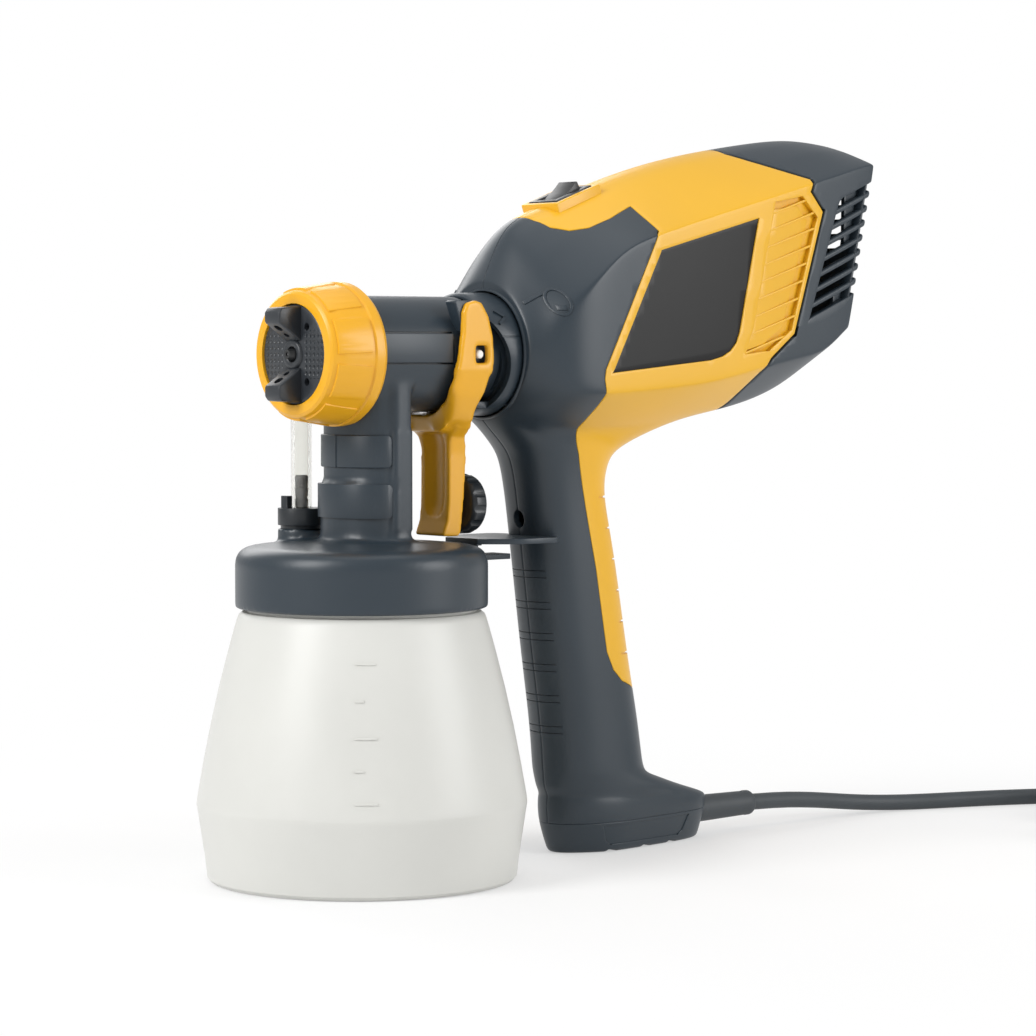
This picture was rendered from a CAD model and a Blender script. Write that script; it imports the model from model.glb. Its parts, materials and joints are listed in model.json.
import json
import math

import bmesh
import bpy
from mathutils import Matrix, Vector


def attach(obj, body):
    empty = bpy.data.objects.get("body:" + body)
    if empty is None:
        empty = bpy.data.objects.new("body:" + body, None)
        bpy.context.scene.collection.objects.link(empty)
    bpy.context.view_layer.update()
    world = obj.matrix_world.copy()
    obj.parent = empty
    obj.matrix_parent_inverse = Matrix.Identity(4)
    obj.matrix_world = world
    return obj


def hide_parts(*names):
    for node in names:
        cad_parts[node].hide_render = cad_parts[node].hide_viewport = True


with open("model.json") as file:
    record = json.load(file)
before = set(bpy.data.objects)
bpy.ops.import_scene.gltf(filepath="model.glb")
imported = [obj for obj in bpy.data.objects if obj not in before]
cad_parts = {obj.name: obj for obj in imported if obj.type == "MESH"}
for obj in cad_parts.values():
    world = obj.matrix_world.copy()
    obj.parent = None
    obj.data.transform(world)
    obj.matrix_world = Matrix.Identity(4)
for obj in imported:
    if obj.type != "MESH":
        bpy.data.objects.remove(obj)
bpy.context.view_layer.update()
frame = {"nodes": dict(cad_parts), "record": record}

# ---- Camera, floor and light ------------------------------------------------
# A long lens looks slightly down on the nozzle side. The sprayer stands on a
# pale floor between soft panels of light.
FRAME_PX, FOCAL_PX, SENSOR = 1036, 3400, 36
LOOK_DOWN, LOOK_ROUND = 2.83, -41.3
WHITE = (1, 1, 1, 1)

scene = bpy.context.scene
scene.view_settings.view_transform = "Standard"

camera = bpy.data.objects.new("camera", bpy.data.cameras.new("camera"))
camera.data.sensor_width = SENSOR
camera.data.lens = SENSOR * FOCAL_PX / FRAME_PX
camera.data.clip_start = 0.05
camera.location = (-0.7558, -0.9446, 0.18855)
camera.rotation_euler = (math.radians(90 - LOOK_DOWN), 0, math.radians(LOOK_ROUND))
scene.collection.objects.link(camera)
scene.camera = camera


def set_inputs(node, **values):
    """Sets a shader node's inputs by name, with _ for a space."""
    for socket, value in values.items():
        node.inputs[socket.replace("_", " ")].default_value = value
    return node


def added(tree, kind, **values):
    return set_inputs(tree.nodes.new("ShaderNode" + kind), **values)


def wired(tree, *pairs):
    """Links outputs to inputs, pair by pair."""
    for source, target in pairs:
        tree.links.new(source, target)


def reckoned(tree, operation, *values):
    """Output of a Math node on numbers and on other nodes' outputs."""
    node = added(tree, "Math")
    node.operation = operation
    for socket, value in zip(node.inputs, values):
        if isinstance(value, (int, float)):
            socket.default_value = value
        else:
            tree.links.new(value, socket)
    return node.outputs[0]


floor_paint = bpy.data.materials.new("floor_paint")
floor_paint.use_nodes = True
tree = floor_paint.node_tree
tree.nodes.clear()
lit = added(tree, "BsdfDiffuse", Color=(0.80, 0.80, 0.80, 1))
glow = added(tree, "Emission", Color=WHITE, Strength=1)
place = added(tree, "TexCoord")
centre = added(tree, "Mapping", Location=(-0.1, 0, 0))
reach = added(tree, "VectorMath")
reach.operation = "LENGTH"
# grey and shaded round the sprayer, glowing white further out
fade = added(tree, "MapRange", From_Min=0.12, From_Max=0.42, To_Min=0.45, To_Max=1)
fade.interpolation_type = "SMOOTHSTEP"
rays = added(tree, "LightPath")
seen = reckoned(tree, "MAXIMUM", rays.outputs["Is Camera Ray"], rays.outputs["Is Glossy Ray"])
seen = reckoned(tree, "MAXIMUM", seen, rays.outputs["Is Transmission Ray"])
share = reckoned(tree, "MULTIPLY", fade.outputs[0], seen)
blend = added(tree, "MixShader")
out = added(tree, "OutputMaterial")
wired(tree, (place.outputs["Object"], centre.inputs["Vector"]),
      (centre.outputs[0], reach.inputs[0]),
      (reach.outputs["Value"], fade.inputs["Value"]),
      (share, blend.inputs[0]), (lit.outputs[0], blend.inputs[1]),
      (glow.outputs[0], blend.inputs[2]), (blend.outputs[0], out.inputs["Surface"]))

bm = bmesh.new()
bmesh.ops.create_grid(bm, x_segments=2, y_segments=2, size=6)
mesh = bpy.data.meshes.new("floor")
bm.to_mesh(mesh)
bm.free()
mesh.materials.append(floor_paint)
floor = bpy.data.objects.new("floor", mesh)
scene.collection.objects.link(floor)


def panel(name, place, aim, size, power):
    light = bpy.data.lights.new(name, "AREA")
    light.shape = "RECTANGLE"
    light.size, light.size_y = size
    light.energy = power
    lamp = bpy.data.objects.new(name, light)
    lamp.location = place
    lamp.rotation_euler = (Vector(aim) - Vector(place)).to_track_quat("-Z", "Y").to_euler()
    scene.collection.objects.link(lamp)


panel("key", (-1.4, 0.05, 1.0), (0.08, 0, 0.16), (0.7, 1.0), 20)
panel("fill", (0.85, -1.3, 0.6), (0.15, 0, 0.16), (0.8, 0.9), 11.5)
panel("top", (0.1, 0.1, 1.6), (0.1, 0, 0.1), (1.2, 1.2), 4)
panel("back", (0.5, 1.4, 0.9), (0.1, 0, 0.15), (1.2, 0.8), 8)

# the object gets the mean of the dim and the white world, the lens all white
world = bpy.data.worlds.new("studio")
world.use_nodes = True
tree = world.node_tree
tree.nodes.clear()
rays = added(tree, "LightPath")
shown = reckoned(tree, "MAXIMUM", rays.outputs["Is Camera Ray"], 0.5)
shown = reckoned(tree, "MAXIMUM", shown, rays.outputs["Is Transmission Ray"])
ambient = added(tree, "Background", Color=WHITE, Strength=0.14)
white = added(tree, "Background", Color=WHITE, Strength=1)
choose = added(tree, "MixShader")
out = added(tree, "OutputWorld")
wired(tree, (shown, choose.inputs[0]), (ambient.outputs[0], choose.inputs[1]),
      (white.outputs[0], choose.inputs[2]), (choose.outputs[0], out.inputs["Surface"]))
scene.world = world

# ---- Mains cord -------------------------------------------------------------
# Round rubber cord: out of the base sleeve, down to the floor, then put away
# in a flat two-layer coil beside its moulded plug.
MM = 0.001
CORD_D = 6.4 * MM
COIL_MID = Vector((345, -94.3)) * MM
COIL_PITCH, COIL_IN_R, COIL_TURNS = 7.7 * MM, 27 * MM, 6.472
COIL_IN_TURNS = (COIL_TURNS - 0.5) / 2
COIL_START = 60


# the lower layer of the coil winds in, then the upper one winds out again
def coil_place(turn):
    wound = min(turn, COIL_IN_TURNS)
    unwound = max(turn - COIL_IN_TURNS - 0.5, 0)
    radius = COIL_IN_R + COIL_PITCH * (COIL_IN_TURNS - wound + unwound)
    climb = min(max((turn - COIL_IN_TURNS) / 0.5, 0), 1)
    angle = math.radians(COIL_START - 360 * turn)
    return Vector((
        COIL_MID.x + radius * math.cos(angle),
        COIL_MID.y + radius * math.sin(angle),
        CORD_D / 2 + COIL_PITCH * climb,
    ))


def coil_heading(degrees):
    angle = math.radians(degrees)
    return Vector((math.sin(angle), -math.cos(angle), 0))


coil_in = coil_place(0) - CORD_D * coil_heading(COIL_START)
coil_exit_angle = COIL_START - 360 * COIL_TURNS
coil_out = coil_place(COIL_TURNS) + CORD_D * coil_heading(coil_exit_angle)
route = [Vector(p) * MM for p in [
    (196, 0, 10), (211, 0, 9.6), (226, 0, 8.4), (241, 0, 6.6), (255, -1, 4.8),
    (268, -3.4, 3.7), (281, -7.6, 3.2), (293, -12.4, 3.2), (306, -17.2, 3.2),
    (320, -23, 3.2), (334, -30.2, 3.2),
]]
route += [coil_in - 14 * MM * coil_heading(COIL_START), coil_in]
steps = round(24 * COIL_TURNS)
route += [coil_place(COIL_TURNS * i / steps) for i in range(steps + 1)]
route.append(coil_out)


def new_material(name, **values):
    """Material whose one surface has the given input values."""
    material = bpy.data.materials.new(name)
    material.use_nodes = True
    return material, set_inputs(material.node_tree.nodes["Principled BSDF"], **values)


def tones(tree, colour, dark, light):
    """Blend between a darker and a lighter tone of a colour."""
    tint = added(tree, "MixRGB")
    tint.inputs[1].default_value = (*[c * dark for c in colour], 1)
    tint.inputs[2].default_value = (*[min(c * light, 1) for c in colour], 1)
    return tint


def rubber(name, colour):
    """Sheath or boot rubber: matt, faintly mottled, with fine skin grain."""
    material, surface = new_material(name, Roughness=0.55)
    tree = material.node_tree
    place = added(tree, "TexCoord").outputs["Object"]
    mottle = added(tree, "TexNoise", Scale=90, Detail=4)
    tint = tones(tree, colour, 0.85, 1.2)
    grain = added(tree, "TexNoise", Scale=1800)
    relief = added(tree, "Bump", Strength=0.25, Distance=0.00005)
    wired(tree, (place, mottle.inputs["Vector"]), (place, grain.inputs["Vector"]),
          (mottle.outputs["Fac"], tint.inputs[0]), (tint.outputs[0], surface.inputs["Base Color"]),
          (grain.outputs["Fac"], relief.inputs["Height"]),
          (relief.outputs[0], surface.inputs["Normal"]))
    return material


cord_rubber = rubber("cord_rubber", (0.045, 0.053, 0.060))

line = bpy.data.curves.new("mains_cord", "CURVE")
line.dimensions = "3D"
line.bevel_depth = CORD_D / 2
line.bevel_resolution = 5
line.use_fill_caps = True
spline = line.splines.new("NURBS")
spline.points.add(len(route) - 1)
for point, place in zip(spline.points, route):
    point.co = (*place, 1)
spline.order_u = 4
spline.use_endpoint_u = True
spline.resolution_u = 3
line.materials.append(cord_rubber)
mains_cord = bpy.data.objects.new("mains_cord", line)
scene.collection.objects.link(mains_cord)
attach(mains_cord, "gun")
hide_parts("power_cord", "cord_coil")

# ---- Housing skin -----------------------------------------------------------
# The outside of the housing and its hanging grip, one form in moulded plastic.
# The cage runs through the housing's cross sections, and the grip's rings hang
# in a hole in its floor. Every shell is then cut out of this skin.
BARREL_Z = 187
BARREL = (0, 0, BARREL_Z)
HOUSE_W, LEAN_Z, NOSE_END = 38, 45, 69
# place along the barrel, then what house_section calls each of the others
HOUSE = [
    (57, 27, 2.5, 9, 0.68, 4, -8, -26.5, 8, 0),
    (61.8, 37.4, 3.6, 15, 0.8, 9, -12, -27, 12, 0),
    (67.6, 47.6, 3.8, 14.4, 0.93, 16, -13.5, -27.5, 16, 0),
    (78, 52.8, 2.3, 10.5, 1, 25, -14.5, -28, 19, 0),
    (93, 57.6, 2, 9, 1, 39, -14, -28.5, 20, 0),
    (112, 65.2, 2, 9.5, 1, 44.5, -12.5, -28, 20, 0),
    (142, 74.3, 2, 9.2, 1, 52.5, -10.5, -24.5, 20, 0.04),
    (172, 80.2, 2, 8.6, 1, 60.5, -4.5, -21.5, 19, 0.12),
    (198, 84.4, 1.6, 6, 0.98, 68, -1, -16.5, 19, 0.22),
    (210, 84.4, 1.2, 4.6, 0.97, 71.5, 1, -9.5, 20, 0.22),
    (219.6, 83.3, 1, 4, 0.957, 74, 9.3, 1.8, 21, 0.22),
    (221.2, 82.9, 1, 3.8, 0.95, 73.6, 10, 2.6, 20.6, 0.22),
    (221.6, 81.9, 1, 3.6, 0.93, 73, 11.5, 4.2, 20, 0.22),
]
GRIP_ANGLES = [
    -40, -13, 13, 40, 60, 78, 96, 114, 132, 149, 169, 191, 211, 228, 246, 264, 282, 300]
# height front and rear, depth front and rear, half width
GRIP = [
    (154, 152, 65.6, 117.6, 17.8), (149, 146, 69.6, 112.6, 16.9), (139.7, 136, 72, 110.6, 16.2),
    (126.3, 124, 73.8, 113.6, 16), (107, 106, 76.2, 117.9, 16), (76, 75, 80.2, 123.4, 16),
    (56, 55, 83.4, 127.8, 16.1), (44, 42, 84.9, 130.2, 16.2), (35, 30.6, 85.6, 131.8, 16.3),
    (31.5, 27.8, 85.8, 134, 16.3), (28.5, 25.6, 86, 141, 16.3), (25, 21.4, 86.2, 153, 16.4),
]
# place and half width along the outline of the foot
FOOT_RIM = [
    (88.3, 3.9), (92.1, 10.2), (99.5, 14.3), (110, 16.5), (122, 15.6),
    (134.5, 14.3), (147, 13), (160.6, 10.8), (167.8, 4.1),
]


def house_section(station):
    """Ring of the cage across the housing, with rounded corners."""
    x, crest, drop, fall, share, side_top, side_low, floor, half, lean = station
    side = [
        (9, crest - drop), (20, crest - fall), (HOUSE_W * share, side_top),
        (HOUSE_W * share, side_low), (half, floor),
    ]
    corners = [(0, crest)] + [(-y, z) for y, z in side] + side[::-1]
    reaches = [3.5, 3.5, 3.4, 1.3, 1.5, 4, 4, 1.5, 1.3, 3.4, 3.5]
    ring = []
    for i, corner in enumerate(corners):
        here = Vector(corner)
        for other in (Vector(corners[i - 1]), Vector(corners[(i + 1) % len(corners)])):
            reach = min(reaches[i], (other - here).length / 2.2)
            ring.append(here + (other - here).normalized() * reach)
        ring.insert(-1, (ring[-2] + 2 * here + ring[-1]) / 4)
    # the nose is round: its rings are evened out more and more to the front,
    # and keep most of their girth
    girth = sum((a - b).length for a, b in zip(ring, ring[1:] + ring[:1]))
    for _ in range(max(0, round((NOSE_END - x) * 0.8))):
        ring = [(ring[i - 1] + 2 * p + ring[(i + 1) % len(ring)]) / 4 for i, p in enumerate(ring)]
    middle = sum(ring, Vector((0, 0))) / len(ring)
    girth /= sum((a - b).length for a, b in zip(ring, ring[1:] + ring[:1]))
    ring = [middle + (p - middle) * (1 + 0.8 * (girth - 1)) for p in ring]
    return [Vector((x + lean * (p.y - LEAN_Z), p.x, BARREL_Z + p.y)) * MM for p in ring]


def grip_section(z_front, z_rear, front, rear, half):
    """Ring of the cage round the grip, a rounded oval."""
    ring = []
    for angle in GRIP_ANGLES:
        c, s = math.cos(math.radians(angle)), math.sin(math.radians(angle))
        x = (front + rear) / 2 - (rear - front) / 2 * math.copysign(abs(c) ** 0.84, c)
        z = z_front + (z_rear - z_front) * (x - front) / (rear - front)
        ring.append(Vector((x, half * math.copysign(abs(s) ** 0.8, s), z)) * MM)
    return ring


def foot_section(z_front, z_rear, inset):
    """Ring of the cage round the foot, drawn in by an inset."""
    half = [
        Vector((x + inset * (1 if x < 110 else -1 if x > 155 else 0),
                y - inset * min(y / 10, 1), 0))
        for x, y in FOOT_RIM
    ]
    for p in half:
        p.z = z_front + (z_rear - z_front) * (p.x - 88) / 80
    near = [Vector((p.x, -p.y, p.z)) for p in half]
    return [p * MM for p in [near[1], near[0]] + half + near[:1:-1]]


def lofted_on(bm, verts, sections):
    """Draws a ring of vertices on through further sections."""
    edges = [bm.edges.get((verts[i - 1], verts[i])) for i in range(len(verts))]
    rings = [verts]
    for section in sections:
        grown = bmesh.ops.extrude_edge_only(bm, edges=edges)["geom"]
        twins = {g.co.to_tuple(7): g for g in grown if isinstance(g, bmesh.types.BMVert)}
        verts = [twins[v.co.to_tuple(7)] for v in verts]
        edges = [bm.edges.get((verts[i - 1], verts[i])) for i in range(len(verts))]
        for vert, place in zip(verts, section):
            vert.co = place
        rings.append(verts)
    return rings


def placed(name, bm, material=None, sharp=40):
    """Turns a bmesh into a piece, with its edges sharp past an angle."""
    mesh = bpy.data.meshes.new(name)
    for face in bm.faces:
        face.smooth = True
    bm.to_mesh(mesh)
    bm.free()
    if sharp:
        mesh.set_sharp_from_angle(angle=math.radians(sharp))
    if material:
        mesh.materials.append(material)
    piece = bpy.data.objects.new(name, mesh)
    scene.collection.objects.link(piece)
    return piece


def settle(piece):
    """Applies the modifiers of a piece to its mesh."""
    bpy.context.view_layer.update()
    seen = piece.evaluated_get(bpy.context.evaluated_depsgraph_get())
    old, piece.data = piece.data, bpy.data.meshes.new_from_object(seen)
    piece.modifiers.clear()
    bpy.data.meshes.remove(old)
    return piece


def moulded(name, colour, roughness, grain=1.0, gloss=0.5):
    """Moulded plastic with the fine grain of its tool and a faint flow mottle."""
    material, surface = new_material(name, Specular_IOR_Level=gloss)
    tree = material.node_tree
    place = added(tree, "TexCoord").outputs["Object"]
    mottle = added(tree, "TexNoise", Scale=22, Detail=5)
    tint = tones(tree, colour, 0.93, 1.06)
    shine = added(tree, "MapRange", To_Min=roughness - 0.05, To_Max=roughness + 0.05)
    fine = added(tree, "TexNoise", Scale=2600, Detail=2)
    relief = added(tree, "Bump", Strength=0.3 * grain, Distance=0.00003)
    wired(tree, (place, mottle.inputs["Vector"]), (place, fine.inputs["Vector"]),
          (mottle.outputs["Fac"], tint.inputs[0]), (mottle.outputs["Fac"], shine.inputs["Value"]),
          (tint.outputs[0], surface.inputs["Base Color"]),
          (shine.outputs[0], surface.inputs["Roughness"]),
          (fine.outputs["Fac"], relief.inputs["Height"]),
          (relief.outputs[0], surface.inputs["Normal"]))
    return material


dark_shell = moulded("dark_shell", (0.021, 0.032, 0.043), 0.37)

bm = bmesh.new()
# the housing, from the socket to the rear end, closed at both ends
first = [bm.verts.new(p) for p in house_section(HOUSE[0])]
for i in range(len(first)):
    bm.edges.new((first[i - 1], first[i]))
rings = lofted_on(bm, first, [house_section(s) for s in HOUSE[1:]])
middle = Vector((57, 0, BARREL_Z)) * MM
rim_in = [[middle + (p - middle) * share for p in house_section(HOUSE[0])]
          for share in (0.975, 0.86)]
bm.faces.new(lofted_on(bm, rings[0], rim_in)[-1])
bm.faces.new(rings[-1])
# open the housing's floor, and hang the grip in the hole
floor_faces = [
    face for face in bm.faces if len(face.verts) == 4
    and all(v in set(sum((r[16:20] for r in rings[:7]), [])) for v in face.verts)
]
rim = [rings[0][16], rings[0][17], rings[0][18], rings[0][19]]
rim += [rings[i][19] for i in range(1, 6)]
rim += [rings[6][k] for k in (19, 18, 17, 16)]
rim += [rings[i][16] for i in range(5, 0, -1)]
bmesh.ops.delete(bm, geom=floor_faces, context="FACES")
sections = [grip_section(*s) for s in GRIP]
sections += [foot_section(*s) for s in [
    (22, 17.4, 0.4), (20.4, 16, -0.1), (12, 12, 0), (4, 4, 1.9), (1.2, 1.2, 2.6), (0.1, 0.1, 3.4),
    (0, 0, 5.5)]]
grip_rings = lofted_on(bm, rim, sections)
bm.faces.new(grip_rings[-1])
bmesh.ops.recalc_face_normals(bm, faces=bm.faces)
skin = placed("gun_skin", bm, sharp=0)
subdivide = skin.modifiers.new("smooth", "SUBSURF")
subdivide.levels = subdivide.render_levels = 3
settle(skin)
skin.data.materials.append(dark_shell)

# ---- Front shells -----------------------------------------------------------
# Two halves in dark plastic, screwed together in the middle plane: from the
# round socket to the stepped parting line and down the front of the grip. Each
# seam has rolled edges, and the grip has pairs of moulded grooves.
SEAM = 0.3
# the parting line on the side view, its heights from the barrel's axis
SPLIT = [
    (111.5, 75), (111.5, 45.5), (110, 44.4), (83.5, -5.5), (83, -9), (85, -19),
    (85.5, -27.5), (89, -37), (91.5, -48), (95, -63), (98.9, -79.5), (102, -97),
    (104.5, -111), (108, -118), (113, -122.5), (124, -126.5), (140, -129),
]
# the tongue on the plan view
TONGUE = [
    (75, 0), (75.6, 7), (78, 13.5), (83, 18.5), (90, 21.4), (100, 22), (113, 20.4),
]


def grown(outline, by):
    """The same closed outline with every side moved out by a distance."""
    area = sum(a[0] * b[1] - b[0] * a[1] for a, b in zip(outline, outline[1:] + outline[:1]))
    by = by if area > 0 else -by
    moved = []
    for i, here in enumerate(outline):
        before = (Vector(here) - Vector(outline[i - 1])).normalized()
        after = (Vector(outline[(i + 1) % len(outline)]) - Vector(here)).normalized()
        out = Vector((before.y + after.y, -before.x - after.x))
        out *= 2 / max(out.length_squared, 0.6)
        moved.append((here[0] + out.x * by, here[1] + out.y * by))
    return moved


def cut(piece, tool, operation="DIFFERENCE"):
    """Cuts a piece with a tool, which is used up."""
    boolean = piece.modifiers.new("cut", "BOOLEAN")
    boolean.object = tool
    boolean.operation = operation
    boolean.solver = "EXACT"
    boolean.material_mode = "TRANSFER"
    settle(piece)
    bpy.data.objects.remove(tool)
    return piece


def prism(name, outline, lift, mark=None):
    """Block raised from an outline, given in millimetres, by a vector."""
    bm = bmesh.new()
    face = bm.faces.new([bm.verts.new(Vector(p) * MM) for p in outline])
    raised = bmesh.ops.extrude_face_region(bm, geom=[face])["geom"]
    bmesh.ops.translate(
        bm, verts=[g for g in raised if isinstance(g, bmesh.types.BMVert)], vec=Vector(lift) * MM)
    bmesh.ops.recalc_face_normals(bm, faces=bm.faces)
    return placed(name, bm, mark)


def side_prism(name, outline, y0=-70, y1=70, mark=None):
    """Prism across the gun on a side view outline, heights above the barrel."""
    return prism(name, [(x, y0, BARREL_Z + z) for x, z in outline], (0, y1 - y0, 0), mark)


def turned(name, profile, origin, axis, steps=96, **given):
    """Solid of revolution: the profile gives (along, radius) in millimetres."""
    bm = bmesh.new()
    verts = [bm.verts.new((r * MM, 0, a * MM)) for a, r in profile]
    edges = [bm.edges.new((verts[i - 1], verts[i])) for i in range(len(verts))]
    bmesh.ops.spin(bm, geom=verts + edges, cent=(0, 0, 0), axis=(0, 0, 1),
                   angle=math.tau, steps=steps, use_merge=True)
    bmesh.ops.remove_doubles(bm, verts=bm.verts, dist=1e-6)
    bmesh.ops.dissolve_degenerate(bm, edges=bm.edges, dist=1e-7)
    bmesh.ops.recalc_face_normals(bm, faces=bm.faces)
    if axis == "X":
        bm.transform(Matrix.Rotation(math.radians(90), 4, "Y"))
    if axis == "Y":
        bm.transform(Matrix.Rotation(math.radians(-90), 4, "X"))
    bm.transform(Matrix.Translation(Vector(origin) * MM))
    return placed(name, bm, **given)


def either_side(inner, outer):
    """Low and high end of a span across the gun, on each side in turn."""
    return (-outer, -inner), (inner, outer)


def copied(piece, name):
    twin = bpy.data.objects.new(name, piece.data.copy())
    scene.collection.objects.link(twin)
    return twin


def joined(piece, *others):
    """Adds other pieces to a piece without cutting them together."""
    bm = bmesh.new()
    for part in (piece, *others):
        bm.from_mesh(part.data)
    bm.to_mesh(piece.data)
    bm.free()
    for part in others:
        bpy.data.objects.remove(part)
    return piece


cut_face = bpy.data.materials.new("cut_face")


def skin_tool(name, outline, y0=-70, y1=70):
    """Side prism whose cuts through the skin are opened by walled."""
    return side_prism(name, outline, y0, y1, cut_face)


def skin_part(name, tool):
    """The part of the skin that lies inside a tool."""
    return cut(copied(skin, name), tool, "INTERSECT")


def behind_split(by):
    """All that lies behind the parting line, with the switch's tongue."""
    rest = skin_tool("behind_split", grown(SPLIT + [(300, -129), (300, 120), (111.5, 120)], by))
    plan = grown(TONGUE + [(x, -y) for x, y in TONGUE[:0:-1]], by)
    tongue = prism("tongue", [(x, y, 225) for x, y in plan], (0, 0, 60), cut_face)
    return cut(rest, tongue, "UNION")


def beyond_middle(name):
    return skin_tool(name, [(30, -190), (260, -190), (260, 110), (30, 110)], SEAM, 80)


def walled(piece, wall=2.4, roll=0.24, sink=None):
    """Opens the cut faces, then gives the skin its wall and rolled edges.

    sink(place) gives how far, in millimetres, the skin lies below its place.
    """
    bm = bmesh.new()
    bm.from_mesh(piece.data)
    marks = [i for i, m in enumerate(piece.data.materials) if m == cut_face]
    bmesh.ops.delete(bm, geom=[f for f in bm.faces if f.material_index in marks], context="FACES")
    # crumbs along the cut are merged away
    rim = [v for v in bm.verts if v.is_boundary]
    bmesh.ops.remove_doubles(bm, verts=rim, dist=0.22 * MM)
    bmesh.ops.dissolve_degenerate(bm, edges=bm.edges, dist=0.02 * MM)
    bmesh.ops.delete(bm, geom=[v for v in bm.verts if not v.link_faces], context="VERTS")
    bm.normal_update()
    if sink:
        lower = [v.co - v.normal * sink(v.co / MM) * MM for v in bm.verts]
        for v, place in zip(bm.verts, lower):
            v.co = place
        bm.normal_update()
    for face in bm.faces:
        face.material_index = 0
    # which way is out of the piece, at each vertex of its rim
    edges = [e for e in bm.edges if e.is_boundary]
    away = {}
    for edge in edges:
        face = edge.link_faces[0]
        a, b = edge.verts
        side = (b.co - a.co).cross(face.normal)
        if side.dot(face.calc_center_median() - (a.co + b.co) / 2) > 0:
            side = -side
        for v in edge.verts:
            away.setdefault(v, []).append(side)
    shape = {}
    for v, sides in away.items():
        total = sum(sides, Vector())
        lead = total.normalized()
        reach = min(1.7, 1 / max(lead.dot(max(sides, key=lambda s: s.length).normalized()), 0.4))
        normal = v.normal.copy()
        shape[v.co.to_tuple(8)] = (v.co.copy(), (lead - lead.dot(normal) * normal) * reach, normal)
    # inner wall: a copy of the skin, sunk by the wall and turned round
    outside = list(bm.verts), list(bm.faces)
    places = [v.co - v.normal * wall * MM for v in outside[0]]
    copy = bmesh.ops.duplicate(bm, geom=outside[0] + list(bm.edges) + outside[1])
    twin = copy["vert_map"]
    for v, place in zip(outside[0], places):
        twin[v].co = place
    bmesh.ops.reverse_faces(
        bm, faces=[f for f in copy["geom"] if isinstance(f, bmesh.types.BMFace)])
    keys = {v: v.co.to_tuple(8) for v in away}
    # the rim runs down over a rolled edge and on to the inner wall
    for sideways, down in [(0.707, 0.293), (1, 1), (1, 0), (0, 0)]:
        drawn = bmesh.ops.extrude_edge_only(bm, edges=edges)["geom"]
        fresh = {g.co.to_tuple(8): g for g in drawn if isinstance(g, bmesh.types.BMVert)}
        keys = {fresh[v.co.to_tuple(8)]: key for v, key in keys.items()}
        edges = [g for g in drawn if isinstance(g, bmesh.types.BMEdge)
                 and g.verts[0] in keys and g.verts[1] in keys]
        for v, key in keys.items():
            start, out, normal = shape[key]
            depth = down * roll if down else wall
            v.co = start + (out * sideways * roll - normal * depth) * MM
    bmesh.ops.remove_doubles(bm, verts=[v for v in bm.verts if v.is_boundary], dist=0.001 * MM)
    bmesh.ops.recalc_face_normals(bm, faces=bm.faces)
    for face in bm.faces:
        face.smooth = True
    bm.to_mesh(piece.data)
    bm.free()
    piece.data.set_sharp_from_angle(angle=math.radians(60))
    return piece


def groove_band(name, bands, mark_depth):
    """Thin slabs that follow the skin, to cut grooves with."""
    tool = joined(*[skin_tool(name, band, 0) for band in bands])
    return walled(skin_part(name, tool), mark_depth + 0.3, 0.05, lambda place: -0.3)


def dressed(piece, material, body, slot, *replaces):
    """Gives a piece its finish, its body and the solids it stands for."""
    piece.data.materials.clear()
    piece.data.materials.append(material)
    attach(piece, body)
    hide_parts(*replaces)
    return piece


def dressed_pair(piece, near_name, material, slot, node):
    """Dresses a piece of the far side and its mirror image on the near side."""
    dressed(piece, material, "gun", slot, node + "_right")
    twin = copied(piece, near_name)
    bm = bmesh.new()
    bm.from_mesh(twin.data)
    bmesh.ops.scale(bm, vec=(1, -1, 1), verts=bm.verts)
    bmesh.ops.reverse_faces(bm, faces=bm.faces)
    bm.to_mesh(twin.data)
    bm.free()
    dressed(twin, material, "gun", slot, node + "_left")


def oval(x, z, half_w, half_h, count):
    turns = [math.tau * k / count for k in range(count)]
    return [(x + half_w * math.cos(turn), z + half_h * math.sin(turn)) for turn in turns]


front = cut(copied(skin, "front_shell_far"), behind_split(SEAM))
cut(front, prism("eye", [(60, y, z) for y, z in oval(0, 126, 3, 3.5, 16)], (22, 0, 0), cut_face))
cut(front, beyond_middle("half"), "INTERSECT")
cut(front, turned("mouth", [(-10, 0), (-10, 23), (20, 23), (20, 0)], (57, 0, BARREL_Z), "X",
                  material=cut_face, sharp=0))
cut(front, skin_tool("foot_room", [(60, -190), (260, -190), (260, -174.6), (60, -175.4)]))
walled(front)

# pairs of grooves across the front of the grip: z is a height over the bench,
# and the outlines are drawn from the barrel's axis, 187 mm above it
lines = []
for k in range(6):
    for drop in (0, 2.6):
        z = 107 - 11.7 * k - drop
        reach = 79.6 + (107 - z) * 0.141
        lines.append([(60, z - 187.43), (reach, z - 187.12), (reach, z - 186.9), (60, z - 186.57)])
cut(front, groove_band("grip_lines", lines, 0.45))
front.data.set_sharp_from_angle(angle=math.radians(50))

# raised marks on the nose: a ring with a bow, and a tick beside it
marks = cut(skin_tool("ring", oval(66.8, 18.8, 3.1, 5, 24), 8),
            skin_tool("ring", oval(66.8, 18.8, 2.5, 4.4, 24), 5, 75))
for outline in ([(58.9, 18), (64.2, 21.6), (63.9, 22.4), (58.6, 18.8)],
                [(65.7, 17.6), (67.9, 17.6), (67.9, 15.9), (65.7, 15.9)]):
    joined(marks, skin_tool("mark", outline, 8))
joined(front, walled(skin_part("nose_marks", marks), 0.9, 0.1, lambda place: -0.4))
dressed_pair(front, "front_shell_near", dark_shell, "dark_plastic", "front_shell")

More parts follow.
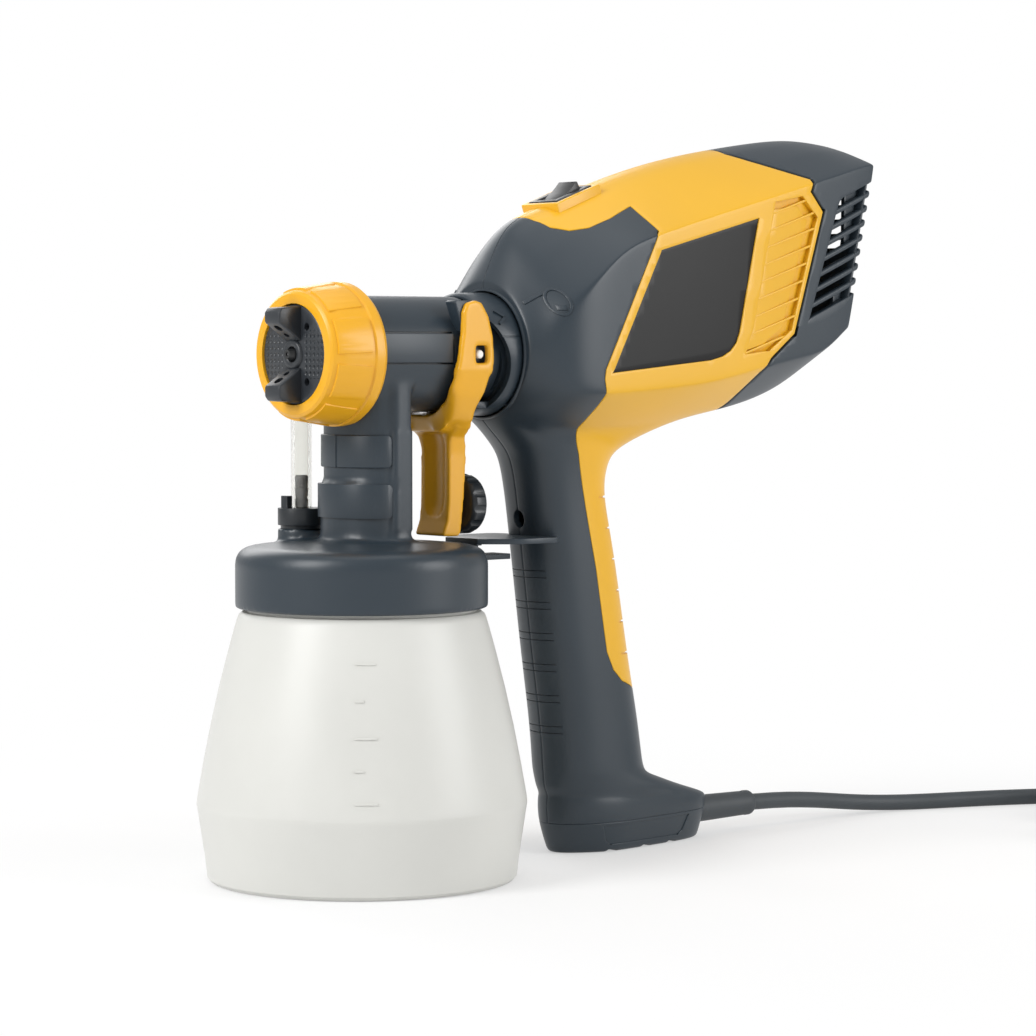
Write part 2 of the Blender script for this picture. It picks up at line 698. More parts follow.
# ---- Rear shells ------------------------------------------------------------
# Two amber halves of the same plastic behind the parting line, with a tongue
# that holds the switch. Each side has room for a louvre and a label panel, and
# single notches run down the back of the grip.
# front edge of the rear cover, and both openings, on the side view
COVER = [
    (172, 95), (172, 77), (193, 67), (190.5, 62), (197.4, 54.6), (181.8, 7.7),
    (169, -1.5), (165, -7), (160.5, -18.4), (158, -22), (156, -40),
]
LABEL = [
    (111.3, 38.2), (162, 51.2), (152, 8.4), (150.3, 4.3), (147.2, 1.2), (143, -0.9),
    (137, -2.3), (87, -6.8),
]
LOUVRE = [
    (171, 57.4), (186, 60.2), (194, 52.4), (180.2, 9.2), (168, 1.4), (155, 0), (159.5, 10),
]
SWITCH_AT, SWITCH_LEAN = (95, 0, 246.4), math.radians(-20)
amber_shell = moulded("amber_shell", (0.740, 0.400, 0.011), 0.32)


def behind_cover(by):
    return skin_tool("behind_cover", grown(COVER + [(300, -40), (300, 95)], by))


def set_at(piece, place, *turns):
    """Turns a piece by (angle, axis) steps, the last one first, and sets it."""
    matrix = Matrix.Translation(Vector(place) * MM)
    for angle, axis in turns:
        matrix = matrix @ Matrix.Rotation(angle, 4, axis)
    piece.data.transform(matrix)
    return piece


rear = skin_part("rear_shell_far", behind_split(-SEAM))
cut(rear, behind_cover(SEAM))
cut(rear, beyond_middle("half"), "INTERSECT")
cut(rear, set_at(prism("switch_room", [
    (-9.6, -8.1, -14), (9.6, -8.1, -14), (9.6, 8.1, -14), (-9.6, 8.1, -14)], (0, 0, 24), cut_face),
    SWITCH_AT, (SWITCH_LEAN, "Y")))
cut(rear, skin_tool("label_room", grown(LABEL, 0.25), 30))
cut(rear, skin_tool("louvre_room", grown(LOUVRE, 0.25), 20))
walled(rear)

# single notches down the back of the grip
lines = [[(x, z - 187.6), (x + 39, z - 188.1), (x + 39, z - 186.2), (x, z - 186.9)]
         for x, z in [(101, 134), (105, 122.3), (109, 110.5), (111, 98.7), (112, 87), (113, 75)]]
cut(rear, groove_band("back_notches", lines, 0.7))
rear.data.set_sharp_from_angle(angle=math.radians(50))
dressed_pair(rear, "rear_shell_near", amber_shell, "amber_plastic", "rear_shell")

# ---- Louvres ----------------------------------------------------------------
# Amber louvre moulded into each rear shell: nine thin slanting ribs, level with
# the side face, over a floor that falls away to the rear.


def louvre_depth(place):
    """The slatted floor falls away from its front edge to its rear edge."""
    z = place.z - BARREL_Z
    front_edge = 171 + (z - 57) * 0.2447
    rear_edge = 191.5 + (z - 52.6) * 0.312
    return 0.3 + 0.8 * min(max((place.x - front_edge) / (rear_edge - front_edge), 0), 1)


louvre = skin_part("louvre_far", skin_tool("louvre_field", grown(LOUVRE, 0.12), 20))
walled(louvre, 0.8, 0.15, lambda place: 1.9)

# its raised floor
slats = skin_part("louvre_slats", skin_tool("slats", [
    (170.4, 54.4), (183.6, 56.4), (189.2, 50.6), (175.8, 10.6), (165.4, 4), (153, 1), (158.5, 10)],
    20))
walled(slats, 1.6, 0.2, louvre_depth)
joined(louvre, slats)

# its ribs
rib_field = joined(*[skin_tool("rib", [
    (150, z - 4.9), (200, z + 10.4), (200, z + 10.8), (150, z - 4.5)], 20)
    for z in [3.4 + 6.05 * i for i in range(9)]])
cut(rib_field, skin_tool("louvre_field", grown(LOUVRE, -0.05), 10, 80), "INTERSECT")
rib_skin = skin_part("louvre_ribs", rib_field)
walled(rib_skin, 2.4, 0.25, lambda place: 0.2)
joined(louvre, rib_skin)
louvre.data.set_sharp_from_angle(angle=math.radians(40))
dressed_pair(louvre, "louvre_near", amber_shell, "amber_plastic", "rear_shell")

# ---- Label panels -----------------------------------------------------------
# Bare black panel of printed film on plastic, glued into a shallow bed in the
# amber side face.
label_film = moulded("label_film", (0.008, 0.008, 0.008), 0.30, 0.3, 0.25)
label = skin_part("label_far", skin_tool("label_field", grown(LABEL, -0.02), 30))
walled(label, 1.2, 0.14, lambda place: 0.45)
dressed_pair(label, "label_near", label_film, "black_plastic", "label")

# ---- Rear cover -------------------------------------------------------------
# Dark moulded cover that slides off over the filter. Its air intake wraps round
# both sides and the rear end: a window, seven round bars across it, and an
# inner wall that ties them together.
RISE = math.tan(math.radians(21))


def block(name, low, high, **given):
    """Upright box between two corners, in millimetres."""
    bm = bmesh.new()
    bmesh.ops.create_cube(bm, size=MM)
    low, high = Vector(low), Vector(high)
    bmesh.ops.scale(bm, vec=high - low, verts=bm.verts)
    bmesh.ops.translate(bm, vec=(low + high) / 2 * MM, verts=bm.verts)
    return placed(name, bm, **given)


def intake_line(i, lift):
    """Front end and rear end of a line along the bars, on the side view."""
    z = 54.3 - 5.98 * i + lift
    x = 204.6 + 0.35 * (z - 54.3)
    return (x, z), (x + 45, z + 45 * RISE)


# the window, with a stepped upper corner in front
top_front, top_rear = intake_line(0, 5)
low_front, low_rear = intake_line(7, 1.1)
window = skin_tool("intake", [
    (low_front[0] - 0.5, low_front[1] - 0.6), (low_rear[0], low_rear[1] - 0.5),
    (top_rear[0], top_rear[1] + 0.5), (top_front[0] + 2.6, top_front[1] + 0.5 + 2.6 * RISE),
    (top_front[0] + 0.6, top_front[1] - 0.2), (top_front[0] - 0.6, top_front[1] - 2.4),
])
cover = cut(skin_part("rear_cover_finished", behind_cover(-SEAM - 1.0)), window)
walled(cover, roll=0.5)

# lip under the joint with the amber shells
joint_lip = skin_part("joint_lip", behind_cover(5))
walled(cut(joint_lip, behind_cover(-3.4)), 1.1, 0.1, lambda place: 2.5)

# round bars, and the wall behind them with a gap for light on each side
bars = []
for i in range(7):
    (x, z), rear_end = intake_line(i, -1.1)
    bars.append(skin_tool("bar", [
        (x - 1.5, z + 0.7 - 1.5 * RISE), (rear_end[0], rear_end[1] + 0.7),
        (rear_end[0], rear_end[1] + 1.5), (x - 1.2, z + 1.5 - 1.5 * RISE)]))
bar_skin = skin_part("intake_bars", joined(*bars))
walled(bar_skin, 2, 0.75, lambda place: 0.1)
tie = skin_part("intake_tie", skin_tool("tie_field", [
    (207.5, 6), (260, 6), (260, 68), (213.5, 68), (213.5, 42), (216, 42), (216, 24), (207.5, 24)]))
for near, far in either_side(16, 29):
    cut(tie, block("light_gap", (216, near, BARREL_Z + 39), (262, far, BARREL_Z + 62),
                   material=cut_face, sharp=0))
walled(tie, 1.6, 0.3, lambda place: 3.2)
joined(cover, joint_lip, bar_skin, tie)
dressed(cover, dark_shell, "cover", "dark_plastic", "rear_cover")

# ---- Base cap ---------------------------------------------------------------
# Dark moulded cap screwed under the grip. It carries on the grip's skin, with
# drain nicks in its rim and a shallow panel on each side.
PANEL = [(104, -176.6), (106, -182.6), (108.6, -184), (146, -184), (148.5, -182.6), (151, -176.6)]
base = skin_part("base_cap_finished", skin_tool("foot_field", [
    (60, -190), (260, -190), (260, -175.1), (60, -175.9)]))
for near, far in either_side(8, 30):
    cut(base, skin_tool("panel_room", grown(PANEL, 0.2), near, far))
walled(base, 2, 0.25)
for x in (110, 128.5, 143.4):
    cut(base, side_prism("nick", [
        (x - 3.2, -190), (x - 3.2, -187), (x - 2, -186),
        (x + 2, -186), (x + 3.2, -187), (x + 3.2, -190)]))
for near, far in either_side(8, 30):
    inset = skin_part("panel_inset", skin_tool("panel_field", grown(PANEL, 0.1), near, far))
    joined(base, walled(inset, 1.2, 0.12, lambda place: 0.35))
dressed(base, dark_shell, "gun", "dark_plastic", "base_cap")
bpy.data.objects.remove(skin)

# ---- Socket of the nose -----------------------------------------------------
# Round moulded bead at the mouth of the nose, and behind it the bayonet ring
# that the spray head turns in, pressed into the shells.
deep_plastic = moulded("deep_plastic", (0.014, 0.018, 0.022), 0.34)
lip = turned("nose_lip", [
    (0.6, 22.9), (-0.2, 22.9), (-0.6, 23.15), (-0.6, 23.6), (-0.2, 23.9),
    (1.5, 24.6), (6, 25), (6, 22.9)], (57, 0, BARREL_Z), "X")
ring = turned("socket_ring_finished", [(61, 22.5), (61, 24.3), (76, 24.3), (76, 22.5)],
              BARREL, "X")
dressed(ring, deep_plastic, "gun", "deep_plastic", "socket_ring")
dressed(lip, dark_shell, "gun", "dark_plastic")

# ---- Finger guard -----------------------------------------------------------
# Dark moulded shelf that keeps the hand off the cup, on a bracket that is
# screwed to the front of the grip.


def eased(piece, width, segments, angle):
    """Rounds the edges of a piece, as a mould or a tumbled cutter leaves them."""
    bevel = piece.modifiers.new("ease", "BEVEL")
    bevel.width = width * MM
    bevel.segments = segments
    bevel.limit_method = "ANGLE"
    bevel.angle_limit = math.radians(angle)
    bevel.use_clamp_overlap = True
    settle(piece)
    for polygon in piece.data.polygons:
        polygon.use_smooth = True
    piece.data.set_sharp_from_angle(angle=math.radians(38))
    return piece


def node_copy(node):
    """Merged copy of a CAD piece."""
    bm = bmesh.new()
    bm.from_mesh(frame["nodes"][node].data)
    bmesh.ops.remove_doubles(bm, verts=bm.verts, dist=2e-6)
    bmesh.ops.dissolve_limit(bm, angle_limit=math.radians(1), verts=bm.verts, edges=bm.edges)
    bmesh.ops.recalc_face_normals(bm, faces=bm.faces)
    return placed(node + "_finished", bm)


guard = cut(node_copy("finger_guard"), prism("ends", [(x, y, 100) for x, y in [
    (40, -30), (72, -30), (76, -19.2), (78.4, -17.6), (79.6, -15), (79.6, 15), (78.4, 17.6),
    (76, 19.2), (72, 30), (40, 30)]], (0, 0, 40)), "INTERSECT")
for start, near, far in [(30, -40, -5), (30, 5, 40), (66, -40, 40)]:
    cut(guard, block("bracket_end", (start, near, 100), (110, far, 117.4)))
dressed(eased(guard, 0.5, 3, 30), dark_shell, "gun", "dark_plastic", "finger_guard")

# ---- Cord sleeve ------------------------------------------------------------
# Tapered rubber sleeve that keeps the cord from kinking where it leaves the
# base, moulded onto the cord and held between the shells.
sleeve = turned("strain_relief_finished", [
    (150, 3.3), (150, 5.2), (168.5, 5.2), (191.6, 4.75), (192.6, 4.9), (194.4, 4.85),
    (195.3, 4.3), (195.5, 3.6), (195.5, 3.1)], (0, 0, 10), "X", 48)
dressed(sleeve, cord_rubber, "gun", "cord_rubber", "strain_relief")

# ---- Switch -----------------------------------------------------------------
# Snap-in rocker switch in black plastic: the amber raised frame of the tongue,
# the switch's own frame, and its rocker.
black_plastic = moulded("black_plastic", (0.016, 0.017, 0.018), 0.35)

bezel = block("switch_bezel_finished", (-11.5, -10, -9), (11.5, 10, 0))
cut(bezel, block("well", (-9.4, -7.9, -20), (9.4, 7.9, 10)))
eased(bezel, 0.5, 3, 60)
frame_block = block("switch_body_finished", (-9.3, -7.8, -9), (9.3, 7.8, 0.35))
cut(frame_block, block("well", (-7.3, -5, -6), (7.3, 5, 6)))
eased(frame_block, 0.3, 2, 60)
for piece, material, slot, node in [
    (bezel, amber_shell, "amber_plastic", "switch_bezel"),
    (frame_block, black_plastic, "black_plastic", "switch_body"),
]:
    dressed(set_at(piece, SWITCH_AT, (SWITCH_LEAN, "Y")), material, "gun", slot, node)
dressed(eased(node_copy("switch_rocker"), 0.35, 3, 30), black_plastic, "rocker",
        "black_plastic", "switch_rocker")

# ---- Spray head body --------------------------------------------------------
# One moulding in dark plastic: the lid over the cup, a hollow neck with grip
# bands, and the barrel with its bayonet collar.
NECK_W = 34
lid = turned("lid", [
    (97, 42.6), (97, 44.2), (97.6, 44.9), (98.4, 45), (112.8, 45), (114.8, 44.7),
    (116.6, 43.8), (117.9, 42.4), (118.8, 40.4), (119.2, 38), (120.6, 20), (120.6, 0),
    (112.6, 0), (112.6, 42.6)], (0, 0, 0), "Z", 128, sharp=0)


def grown_together(name, parts, voxel, passes=2):
    """One smooth skin round several closed parts, without walls between them."""
    bm = bmesh.new()
    for part in parts:
        bm.from_mesh(part.data)
        bpy.data.objects.remove(part)
    piece = placed(name, bm, sharp=0)
    remesh = piece.modifiers.new("skin", "REMESH")
    remesh.mode = "VOXEL"
    remesh.voxel_size = voxel * MM
    settle(piece)
    return softened(piece, passes)


def softened(piece, passes, where=None):
    """Lets the surface flow into fillets, all over or where a test holds."""
    bm = bmesh.new()
    bm.from_mesh(piece.data)
    verts = [v for v in bm.verts if where is None or where(v.co / MM)]
    for _ in range(passes):
        bmesh.ops.smooth_vert(bm, verts=verts, factor=0.5,
                              use_axis_x=True, use_axis_y=True, use_axis_z=True)
    for face in bm.faces:
        face.smooth = True
    bm.to_mesh(piece.data)
    bm.free()
    return piece


def column(name, z0, z1, depth, grow=0.0, x_back=6.0):
    """Length of the neck's bowed front column."""
    outline, half = [], NECK_W / 2 + grow
    for i in range(25):
        a = math.radians(90 * (i - 12) / 12)
        x = -depth - grow + (depth + 2) * (1 - math.cos(a)) * 0.9
        outline.append((x, half * math.copysign(abs(math.sin(a)) ** 0.92, math.sin(a)), z0))
    outline += [(x_back, half, z0), (x_back, -half, z0)]
    return prism(name, outline, (0, 0, z1 - z0))


neck_parts = [
    column("neck_low", 116, 141.6, 12.8), column("neck_high", 140, 176, 10.8),
    column("neck_root", 116, 121, 14, 1.2), block("plate", (0, -19, 116), (8.4, 19, 187)),
    block("plate_foot", (-0.4, -19.8, 116), (12.5, 19.8, 121)),
    turned("barrel", [
        (-23, 15), (-23, 19.7), (-22.5, 20.2), (-8, 20.2), (-8, 20.8), (50, 20.8), (50, 15)],
        BARREL, "X", 128, sharp=0),
    turned("valve_boss", [(0, 0), (0, 8.6), (7, 8.6), (7, 0)],
           (-3.5, 30.4, 117.1), "Z", 48, sharp=0),
    turned("air_boss", [(0, 0), (0, 4.4), (34, 4.4), (34, 0)],
           (-3.5, 0, 178), "Y", 48, sharp=0),
    turned("air_elbow", [(-13, 0), (-13, 4.4), (3, 4.4), (3, 0)],
           (-3.5, 30.4, 182), "Z", 48, sharp=0),
]
for low, high in either_side(20.5, 23.1):
    neck_parts.append(turned("pivot_boss", [(0, 0), (0, 5), (2.6, 5), (2.6, 0)],
                             (32.5, low, 200), "Y", 48, sharp=0))
head_skin = grown_together("spray_head_body", [lid, *neck_parts], 0.8, 2)
softened(head_skin, 22, lambda p: 118.4 < p.z < 125 and p.x > -17 and abs(p.y) < 24)
softened(head_skin, 14, lambda p: 160 < p.z < 181 and -4 < p.x < 14)
softened(head_skin, 8, lambda p: 138 < p.z < 143 and p.x < 2)

# grip bands with rounded ends, raised 0.8 mm off the column
for z0, z1, depth in [(129.3, 141.2, 12.8), (147, 158.6, 10.8)]:
    band = column("grip_band", z0, z1, depth, 0.8, x_back=4)
    outline = []
    for z, first_angle in ((z1 - 2, 90), (z0 + 2, 0)):
        for k in range(7):
            a = math.radians(first_angle - 15 * k)
            outline.append((-0.2 - 2 + 2 * math.cos(a), z + 2 * math.sin(a) - BARREL_Z))
    outline += [(-30, z0 - BARREL_Z), (-30, z1 - BARREL_Z)]
    ends = side_prism("ends", outline, -30, 30)
    cut(band, ends, "INTERSECT")
    eased(band, 0.45, 3, 50)
    joined(head_skin, band)

# parting line down the middle of the column and its bands
for z0, z1, depth in [(120, 129.4, 12.8), (129.4, 141.1, 13.6), (141.1, 147, 10.9),
                      (147, 158.5, 11.6), (158.5, 174, 10.8)]:
    joined(head_skin, block("parting", (-depth - 0.22, -0.12, z0), (-8, 0.12, z1)))

# small ears by the pivots
for near, far in either_side(17, 22.4):
    ear = side_prism("ear", [(24.6, 18.6), (25.4, 19.2), (34, 19.2), (34, 8), (28.5, 8)], near, far)
    joined(head_skin, eased(ear, 0.35, 2, 40))

# flat land along each side of the barrel
for room, span in zip(either_side(18, 26), either_side(16, 21.1)):
    cut(head_skin, block("land_room", (-20, room[0], 183.4), (25.9, room[1], 195)))
    land = block("land", (-7.9, span[0], 184), (25.2, span[1], 194.4))
    eased(land, 0.35, 3, 50)
    joined(head_skin, land)

# collar of the bayonet, with scallops for the trigger's legs, nicks and an arrow
groove_ring = turned("groove_ring", [(40.5, 17.5), (40.5, 30), (60, 30), (60, 17.5)],
                     BARREL, "X", 96, sharp=0)
cut(head_skin, groove_ring)
collar = turned("collar", [
    (40.6, 14), (40.6, 17.6), (52.5, 17.6), (52.5, 20.4), (43.2, 20.4), (43.2, 21.2), (43.9, 22),
    (45.2, 22.35), (56.2, 22.5), (56.6, 22.3), (56.6, 21.9), (68, 21.9), (68, 21.2),
    (70.5, 21.2), (70.5, 21.9), (72.6, 21.9), (73, 21.4), (73, 14)], BARREL, "X", 128, sharp=0)
for near, far in either_side(11, 30):
    cut(collar, turned("leg_room", [(0, 0), (0, 29.7), (far - near, 29.7), (far - near, 0)],
                       (21.9, near, 179.4), "Y", 96, sharp=0))
for a in (73.2, 286.8):
    nick = block("nick", (40, -0.2, 22.1), (57, 0.2, 26))
    cut(collar, set_at(nick, BARREL, (math.radians(a), "X")))
eased(collar, 0.3, 2, 40)
for lean in (-38, 38):
    stroke = block("arrow", (-0.3, -0.45, 22), (4.8, 0.45, 23))
    stroke.data.transform(
        Matrix.Translation((0.0515, 0, 0.187)) @ Matrix.Rotation(math.radians(54), 4, "X")
        @ Matrix.Rotation(math.radians(180 + lean), 4, "Z"))
    joined(collar, stroke)
joined(head_skin, collar)
dressed(head_skin, dark_shell, "spray_head", "dark_plastic", "attachment_body")
head_skin.data.set_sharp_from_angle(angle=math.radians(45))

# ---- Trigger ----------------------------------------------------------------
# Amber moulded fork that rides on two pins of the head and pulls the needle by
# a white cross pin pressed through it.
amber_gun = moulded("amber_gun", (0.760, 0.375, 0.010), 0.32)
white_plastic = moulded("white_plastic", (0.82, 0.80, 0.76), 0.35)
fork = cut(node_copy("trigger"), block("below", (0, -40, 100), (60, 40, 159)))
finger = side_prism("finger", [
    (27, -28.2), (29.6, -22), (32.6, -27), (33.6, -33), (34, -40), (33.9, -52), (33.2, -60),
    (31.6, -64), (31.2, -65), (31.6, -65.6), (38.6, -65.8), (39.7, -64), (41.1, -52),
    (42.4, -34), (38, -20), (27, -22)], -30, 30)
cut(finger, prism("finger_front", [(0, y, BARREL_Z + z) for y, z in [
    (-8.2, -70), (8.2, -70), (8.2, -35), (9.2, -30), (17.5, -23.5), (18, -15), (-18, -15),
    (-17.5, -23.5), (-9.2, -30), (-8.2, -35)]], (80, 0, 0)), "INTERSECT")
cut(finger, turned("channel", [
    (-24.5, 0), (-24.5, 4), (-23, 6.2), (-20, 7.5), (-15, 8), (3, 8), (9, 6.4), (12.6, 3.4),
    (14, 0)], (28.2, 0, 151.5), "Z", 64, sharp=0))
trigger_parts = [fork, finger]
for low, high in either_side(21.7, 24.4):
    trigger_parts.append(turned("pin_cover", [(0, 0), (0, 4), (high - low, 4), (high - low, 0)],
                                (32.5, low, 200), "Y", 48, sharp=0))
trigger = grown_together("trigger_finished", trigger_parts, 0.5, 7)
softened(trigger, 16, lambda p: 150 < p.z < 181)
softened(trigger, 70, lambda p: 160 < p.z < 180 and abs(p.y) > 14)
dressed(trigger, amber_gun, "trigger_lever", "amber_plastic", "trigger")

# pivot pins, pressed into the head from both sides
pivots = joined(*[
    turned("pivot_pin", [(0, 0), (0, 2), (high - low, 2), (high - low, 0)],
           (32.5, low, 200), "Y", 32) for low, high in either_side(20.5, 23.9)])
dressed(pivots, dark_shell, "spray_head", "dark_plastic", "pivot_pins")

# cross pin of the needle
pin = turned("needle_pin_finished", [
    (-23.9, 0), (-23.9, 1.1), (-23.5, 1.5), (23.5, 1.5), (23.9, 1.1), (23.9, 0)],
    (35.4, 0, BARREL_Z), "Y", 48)
dressed(pin, white_plastic, "needle_rod", "white_plastic", "needle_pin")

# ---- Flow knob --------------------------------------------------------------
# Fluted thumb knob in black plastic, moulded round the end of the screw that
# limits the trigger's travel.
knob = turned("volume_knob_finished", [
    (0, 0), (0, 9.2), (0.5, 10.2), (1.6, 10.9), (5.2, 10.9), (6.3, 10.4), (7, 9.2), (7, 3.6),
    (6.4, 3), (6.4, 0)], (43.5, 0, 132.5), "X", 120, sharp=0)
for i in range(12):
    a = math.radians(30 * i + 8)
    cut(knob, turned("flute", [(-3, 0), (-3, 2.6), (12, 2.6), (12, 0)],
                     (43.5, 12.9 * math.cos(a), 132.5 + 12.9 * math.sin(a)), "X", 32, sharp=0))
eased(knob, 0.3, 2, 32)
dressed(knob, deep_plastic, "flow_knob", "deep_plastic", "volume_knob")
dressed(turned("knob_screw_finished", [(38.6, 0), (38.6, 2.5), (51, 2.5), (51.4, 2.1), (51.4, 0)],
               (0, 0, 132.5), "X", 48), deep_plastic, "flow_knob", "deep_plastic", "knob_screw")

# ---- Air cap, nozzle and union nut ------------------------------------------
# Black moulded cap with a dimpled face and two horns with air jets, over the
# fluid nozzle. The amber union nut screws them onto the barrel.
cap_black = moulded("cap_black", (0.022, 0.026, 0.031), 0.36)
tree = cap_black.node_tree
relief = next(n for n in tree.nodes if n.bl_idname == "ShaderNodeBump")
place = added(tree, "TexCoord")
axes = added(tree, "SeparateXYZ")
dimple = added(tree, "Bump", Strength=1, Distance=0.0007)
dimple.invert = True


def reckon(operation, *values):
    return reckoned(tree, operation, *values)


# dimples 2.2 mm apart, only on the face, left and right of its middle
row = reckon("PINGPONG", axes.outputs["Z"], 0.0011)
turn = reckon("PINGPONG", reckon("ADD", axes.outputs["Y"], 0.0006), 0.0011)
away = reckon("SQRT", reckon("ADD", reckon("MULTIPLY", row, row), reckon("MULTIPLY", turn, turn)))
dish = reckon("MULTIPLY", reckon("MAXIMUM", reckon("SUBTRACT", 0.0008, away), 0.0), 1000.0)
field = reckon("MULTIPLY", reckon("GREATER_THAN", reckon("ABSOLUTE", axes.outputs["Y"]), 0.006),
               reckon("LESS_THAN", reckon("ABSOLUTE", reckon(
                   "SUBTRACT", axes.outputs["Z"], 0.187)), 0.0085))
field = reckon("MULTIPLY", field, reckon("LESS_THAN", axes.outputs["X"], -0.0297))
wired(tree, (place.outputs["Object"], axes.inputs[0]),
      (reckon("MULTIPLY", dish, field), dimple.inputs["Height"]),
      (dimple.outputs[0], relief.inputs["Normal"]))

disc = turned("air_cap_finished", [
    (-30.3, 2.7), (-30.3, 16.6), (-29.9, 17.3), (-29.3, 17.5), (-26.2, 17.5), (-26.2, 18.8),
    (-23.4, 18.8), (-23.4, 14.5), (-27.4, 14.3), (-27.4, 2.7)], BARREL, "X", 96)

# four air holes in the face
for y in (-7.6, 7.6):
    for z in (-9.6, 9.6):
        cut(disc, turned("face_hole", [(-40, 0), (-40, 1.35), (0, 1.35), (0, 0)],
                         (0, y, BARREL_Z + z), "X", 24))

# horns with two jets each, and the ring round the tip
horns = []
for side in (-1, 1):
    horn = side_prism("horn", [
        (-29.6, side * 4.6), (-31, side * 4.8), (-33.2, side * 6.6), (-39.4, side * 10.8),
        (-39.8, side * 11.4), (-39.8, side * 14.6), (-38.6, side * 16.2),
        (-29.6, side * 16.9)], -4.3, 4.3)
    eased(horn, 0.6, 3, 30)
    for d, r in ((8.2, 1.2), (11.4, 1.7)):
        jet = turned("jet", [(-9, 0), (-9, r), (5, r), (5, 0)], (0, 0, 0), "X", 24)
        cut(horn, set_at(jet, (-26.6 - d * 0.92, 0, BARREL_Z + side * (d - 2.6)),
                         (math.radians(side * -52), "Y")))
    horns.append(horn)
collar_ring = turned("nozzle_ring", [
    (-30.2, 2.7), (-31.1, 2.8), (-31.4, 3.2), (-31.4, 4.6), (-31, 5.1), (-30.2, 5.3)],
    BARREL, "X", 64)
joined(disc, *horns, collar_ring)
disc.data.set_sharp_from_angle(angle=math.radians(40))
dressed(disc, cap_black, "cap", "deep_plastic", "air_cap")
nozzle = turned("fluid_nozzle_finished", [
    (-33.2, 0.7), (-33.2, 1.5), (-32.9, 1.8), (-29, 2.3), (-26, 4), (-26, 6.3), (-24.2, 6.3),
    (-24.2, 5), (-14, 5), (-14, 1.8), (-28, 1.6), (-31.6, 0.7)], BARREL, "X", 64)
dressed(nozzle, black_plastic, "spray_head", "nozzle_metal", "fluid_nozzle")
dressed(eased(node_copy("union_nut"), 0.6, 3, 30), amber_gun, "nut", "amber_plastic", "union_nut")

# ---- Paint cup --------------------------------------------------------------
# Blow-moulded translucent cup, screwed up into the lid, with raised level marks
# on its front.
milky_plastic = moulded("milky_plastic", (0.60, 0.60, 0.57), 0.38, 0.3)
cup = turned("cup_finished", [
    (1.2, 0), (1.2, 44), (0.5, 50), (0, 52.5), (0.35, 54.2), (1.6, 55.3), (8, 56), (26.2, 58.75),
    (27.3, 58.95), (28.4, 58.9), (30, 58.7), (41.4, 56.7), (54.8, 54.1), (68.2, 51.1), (81.6, 47.7),
    (90, 45.4), (93.4, 44.4), (94.8, 43.8), (95.8, 42.6), (96, 41), (110, 41), (110, 39.4),
    (95, 39.4), (93.6, 42.2), (81.6, 46.1), (68.2, 49.5), (54.8, 52.5), (41.4, 55.1), (29, 57.2),
    (27, 57.3), (8, 54.4), (3, 53.8), (2.2, 52), (2.6, 44), (2.8, 0)],
    (0, 0, 0), "Z", 160, sharp=30)
for z in (99.6, 104.4):
    joined(cup, turned("thread_turn", [(z, 40.5), (z + 0.3, 42), (z + 1.3, 42), (z + 1.6, 40.5)],
                       (0, 0, 0), "Z", 96))
dressed(cup, milky_plastic, "paint_cup", "milky_plastic", "cup")

# level marks, every second one long
for z, long in ((81, 1), (68.5, 0), (56, 1), (45, 0), (34, 1)):
    # the cup's bowed wall at this height, above its widest line at 28 mm
    r = 59 - (z - 28) * 0.2239 + 1.25 * math.sin(math.pi * (z - 28) / 67)
    for k in range(5 if long else 2):
        a = math.radians(229.5 + 1.6 * k)
        mark = block("level", (-0.5, -0.8, -0.4), (0.3, 0.8, 0.4))
        joined(cup, set_at(mark, (r * math.cos(a), r * math.sin(a), z), (a, "Z"), (-0.22, "Y")))

# ---- Vent tube and valve ----------------------------------------------------
# Clear hose pushed over the barbed spigot of the vent valve and up to the air
# take-off behind the head. The spigot is part of the valve's cap, which screws
# onto the lid over a membrane.
clear_hose, surface = new_material(
    "clear_hose", Base_Color=(0.93, 0.93, 0.90, 1), Roughness=0.08, IOR=1.32,
    Transmission_Weight=0.93)
tree = clear_hose.node_tree
place = added(tree, "TexCoord")
haze = added(tree, "TexNoise", Scale=160)
shine = added(tree, "MapRange", To_Min=0.05, To_Max=0.14)
wired(tree, (place.outputs["Object"], haze.inputs["Vector"]),
      (haze.outputs["Fac"], shine.inputs["Value"]), (shine.outputs[0], surface.inputs["Roughness"]))
hose = turned("vent_tube_finished", [
    (131.8, 2.5), (131.8, 3.55), (132, 3.75), (169.8, 3.75), (170, 3.5), (170, 2.5)],
    (-3.5, 30.4, 0), "Z", 64)
dressed(hose, clear_hose, "spray_head", "clear_plastic", "vent_tube")
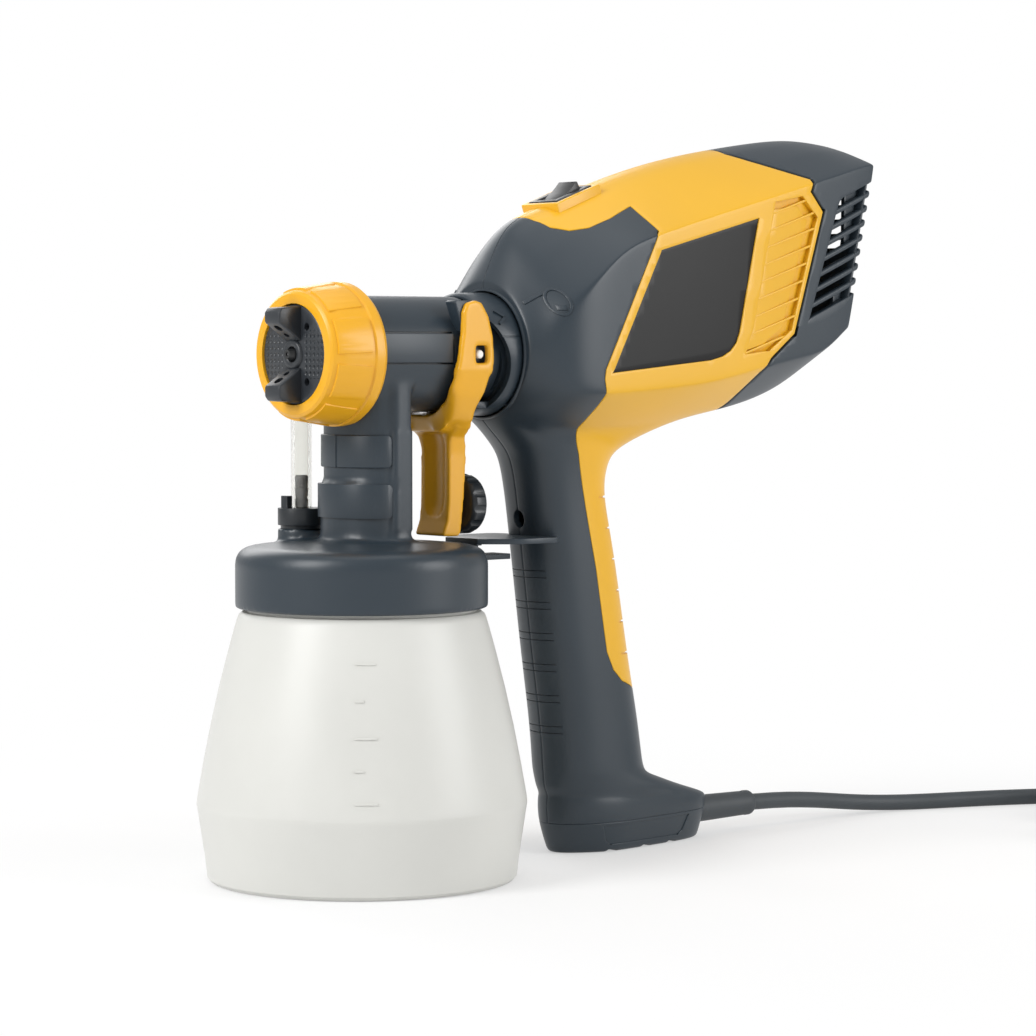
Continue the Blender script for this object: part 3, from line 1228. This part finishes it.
barbs = turned("barbs", [
    (131.6, 0), (131.6, 2.3), (134.7, 2.46), (135, 1.7), (135.7, 1.7), (135.8, 2.3),
    (138.7, 2.46), (139, 1.7), (139.7, 1.7), (139.8, 2.3), (142.7, 2.46), (143.4, 2),
    (143.4, 0)], (-3.5, 30.4, 0), "Z", 48)
dressed(barbs, deep_plastic, "vent_valve", "deep_plastic")
dressed(eased(node_copy("valve_cap"), 0.3, 3, 30), deep_plastic, "vent_valve", "deep_plastic",
        "valve_cap")

# ---- Inner works, plug and suction tube -------------------------------------
# These pieces keep the shape of their solids: the motor and its fan, screws and
# springs, seals, the foam filter and its frame, the plug and the tube in the
# cup. Metal is turned or drawn, rubber and plastic are moulded.


def metal(name, colour, roughness):
    """Bright metal with fine turning marks."""
    material, surface = new_material(name, Metallic=1, Base_Color=(*colour, 1))
    tree = material.node_tree
    place = added(tree, "TexCoord")
    marks = added(tree, "TexNoise", Scale=700, Detail=3)
    shine = added(tree, "MapRange", To_Min=roughness - 0.06, To_Max=roughness + 0.08)
    wired(tree, (place.outputs["Object"], marks.inputs["Vector"]),
          (marks.outputs["Fac"], shine.inputs["Value"]),
          (shine.outputs[0], surface.inputs["Roughness"]))
    return material


steel = metal("steel", (0.62, 0.62, 0.63), 0.3)
finish = {
    "dark_plastic": dark_shell, "amber_plastic": amber_shell, "deep_plastic": deep_plastic,
    "black_plastic": black_plastic, "milky_plastic": milky_plastic, "white_plastic": white_plastic,
    "clear_plastic": moulded("clear_plastic", (0.82, 0.82, 0.79), 0.12, 0.1),
    "soft_seal": rubber("seal_rubber", (0.03, 0.03, 0.03)), "cord_rubber": cord_rubber,
    "foam": moulded("foam", (0.25, 0.27, 0.28), 0.9), "steel": steel, "motor_steel": steel,
    "nozzle_metal": steel, "plated_brass": metal("nickel", (0.80, 0.79, 0.77), 0.18),
}
for part in frame["record"]["subparts"]:
    mesh = frame["nodes"][part["node"]].data
    mesh.materials.clear()
    mesh.materials.append(finish[part["material_slot"]])
